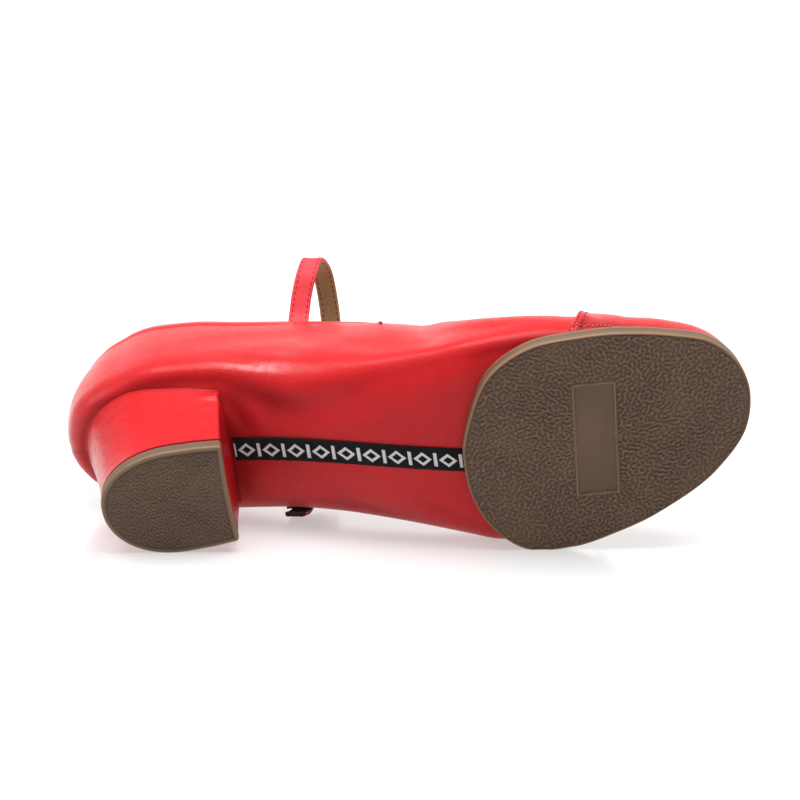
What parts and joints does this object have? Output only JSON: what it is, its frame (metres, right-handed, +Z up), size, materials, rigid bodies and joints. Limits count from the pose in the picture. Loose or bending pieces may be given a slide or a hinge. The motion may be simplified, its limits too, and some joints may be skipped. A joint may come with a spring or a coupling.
{
  "type": "dance shoe",
  "caption": "Left dance shoe lying on its outer side: hollow leather upper open at the collar, toe cap, instep strap, covered block heel with rubber lift and rubber forefoot sole.",
  "frame": {"origin": "middle of the box round the lying shoe, on the floor it lies on", "axes": "+X from the heel towards the toe along the floor, +Z up from the floor and out of the shoe's inner side, +Y from the sole towards the collar"},
  "size_m": [0.2486, 0.1172, 0.0891],
  "materials": {
    "upper_leather": "satin red leather",
    "cap_leather": "satin red leather",
    "lining": "soft tan lining",
    "sole_rubber": "matte brown rubber",
    "lift_rubber": "matte brown rubber",
    "tape": "woven black tape",
    "hook_fabric": "dark hook strip"
  },
  "bodies": {
    "root": {"upper": "upper_leather", "toe_cap": "cap_leather", "insole": "lining", "forefoot_sole": "sole_rubber", "heel_block": "upper_leather", "heel_lift": "lift_rubber", "arch_tape": "tape", "strap": "upper_leather", "strap_patch": "hook_fabric"}
  },
  "joints": []
}
